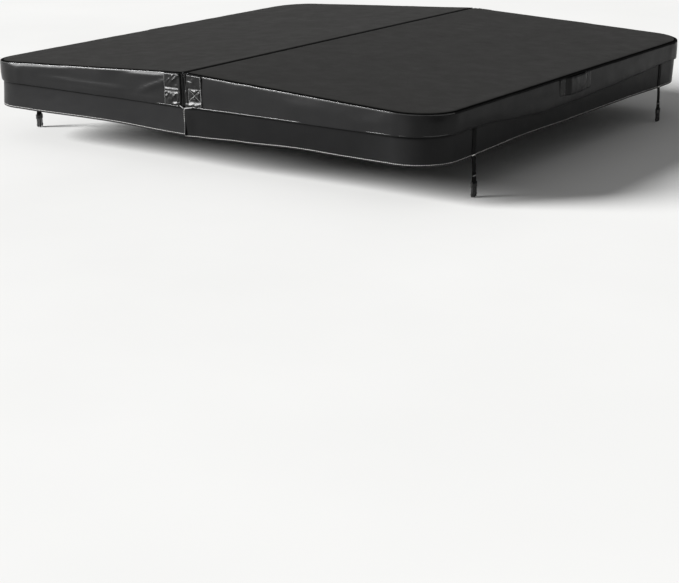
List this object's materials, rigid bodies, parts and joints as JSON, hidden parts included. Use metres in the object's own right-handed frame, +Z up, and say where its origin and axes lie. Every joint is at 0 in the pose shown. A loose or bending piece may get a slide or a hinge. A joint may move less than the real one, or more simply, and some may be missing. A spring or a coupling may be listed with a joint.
{
  "type": "spa cover",
  "caption": "Bifold tapered foam cover for a hot tub, sewn in charcoal marine vinyl, with a skirt, lift handles and tie-down straps with clips.",
  "frame": {"origin": "middle of the fold on the underside plane, which rests on the tub's rim", "axes": "+X across the halves towards the front half that lifts, +Y along the fold, +Z up"},
  "size_m": [2.1808, 2.063, 0.3725],
  "materials": {
    "vinyl_top": "satin",
    "vinyl_side": "satin",
    "vinyl_under": "matte",
    "vinyl_skirt": "satin",
    "vinyl_patch": "satin",
    "vinyl_handle": "satin",
    "vinyl_hinge": "matte",
    "vinyl_gusset": "satin",
    "eps_foam": "matte",
    "seal_foam": "matte",
    "vapour_film": "gloss",
    "galvanised_steel": "satin",
    "grommet_plastic": "satin",
    "zip_nylon": "matte",
    "zip_metal": "satin",
    "webbing": "matte",
    "clip_plastic": "satin"
  },
  "bodies": {
    "rear_half": {"rear_foam_core": "eps_foam", "rear_vapour_wrap": "vapour_film", "rear_hinge_channel": "galvanised_steel", "rear_top_skin": "vinyl_top", "rear_side_band": "vinyl_side", "rear_underside_skin": "vinyl_under", "rear_drain_grommets": "grommet_plastic", "rear_hinge_wall": "vinyl_side", "rear_zip_coil": "zip_nylon", "rear_skirt": "vinyl_skirt", "rear_end_patches": "vinyl_patch", "rear_lift_handle": "vinyl_handle", "rear_strap_tops": "webbing", "fold_hinge_web": "vinyl_hinge", "steam_seal_foam": "seal_foam", "steam_seal_sleeve": "vinyl_under", "left_end_gusset": "vinyl_gusset", "right_end_gusset": "vinyl_gusset"},
    "front_half": {"front_foam_core": "eps_foam", "front_vapour_wrap": "vapour_film", "front_hinge_channel": "galvanised_steel", "front_top_skin": "vinyl_top", "front_side_band": "vinyl_side", "front_underside_skin": "vinyl_under", "front_drain_grommets": "grommet_plastic", "front_hinge_wall": "vinyl_side", "front_zip_coil": "zip_nylon", "front_skirt": "vinyl_skirt", "front_end_patches": "vinyl_patch", "front_lift_handle": "vinyl_handle", "front_strap_tops": "webbing"},
    "rear_zip_slide": {"rear_zip_slider": "zip_metal"},
    "rear_left_strap": {"rear_left_strap_tail": "webbing"},
    "rear_left_buckle": {"rear_left_clip": "clip_plastic"},
    "rear_right_strap": {"rear_right_strap_tail": "webbing"},
    "rear_right_buckle": {"rear_right_clip": "clip_plastic"},
    "front_zip_slide": {"front_zip_slider": "zip_metal"},
    "front_left_strap": {"front_left_strap_tail": "webbing"},
    "front_left_buckle": {"front_left_clip": "clip_plastic"},
    "front_right_strap": {"front_right_strap_tail": "webbing"},
    "front_right_buckle": {"front_right_clip": "clip_plastic"}
  },
  "joints": [
    {"name": "fold", "type": "hinge", "parent": "rear_half", "child": "front_half", "pos_m": [0, 0, 0.127], "axis": [0, -1, 0], "range_deg": [0, 183], "deforming": ["fold_hinge_web", "left_end_gusset", "right_end_gusset"]},
    {"name": "rear_zip", "type": "slide", "parent": "rear_half", "child": "rear_zip_slide", "axis": [0, 1, 0], "range_m": [0, 1.852]},
    {"name": "rear_left_strap_swing", "type": "hinge", "parent": "rear_half", "child": "rear_left_strap", "pos_m": [-1.0668, -0.752, -0.1036], "axis": [0, 1, 0], "range_deg": [-25, 110]},
    {"name": "rear_left_clip_swing", "type": "hinge", "parent": "rear_left_strap", "child": "rear_left_buckle", "pos_m": [-1.0668, -0.752, -0.194], "axis": [0, 1, 0], "range_deg": [-60, 60]},
    {"name": "rear_right_strap_swing", "type": "hinge", "parent": "rear_half", "child": "rear_right_strap", "pos_m": [-1.0668, 0.752, -0.1036], "axis": [0, 1, 0], "range_deg": [-25, 110]},
    {"name": "rear_right_clip_swing", "type": "hinge", "parent": "rear_right_strap", "child": "rear_right_buckle", "pos_m": [-1.0668, 0.752, -0.194], "axis": [0, 1, 0], "range_deg": [-60, 60]},
    {"name": "front_zip", "type": "slide", "parent": "front_half", "child": "front_zip_slide", "axis": [0, 1, 0], "range_m": [0, 1.852]},
    {"name": "front_left_strap_swing", "type": "hinge", "parent": "front_half", "child": "front_left_strap", "pos_m": [1.0668, -0.752, -0.1036], "axis": [0, -1, 0], "range_deg": [-25, 110]},
    {"name": "front_left_clip_swing", "type": "hinge", "parent": "front_left_strap", "child": "front_left_buckle", "pos_m": [1.0668, -0.752, -0.194], "axis": [0, -1, 0], "range_deg": [-60, 60]},
    {"name": "front_right_strap_swing", "type": "hinge", "parent": "front_half", "child": "front_right_strap", "pos_m": [1.0668, 0.752, -0.1036], "axis": [0, -1, 0], "range_deg": [-25, 110]},
    {"name": "front_right_clip_swing", "type": "hinge", "parent": "front_right_strap", "child": "front_right_buckle", "pos_m": [1.0668, 0.752, -0.194], "axis": [0, -1, 0], "range_deg": [-60, 60]}
  ]
}
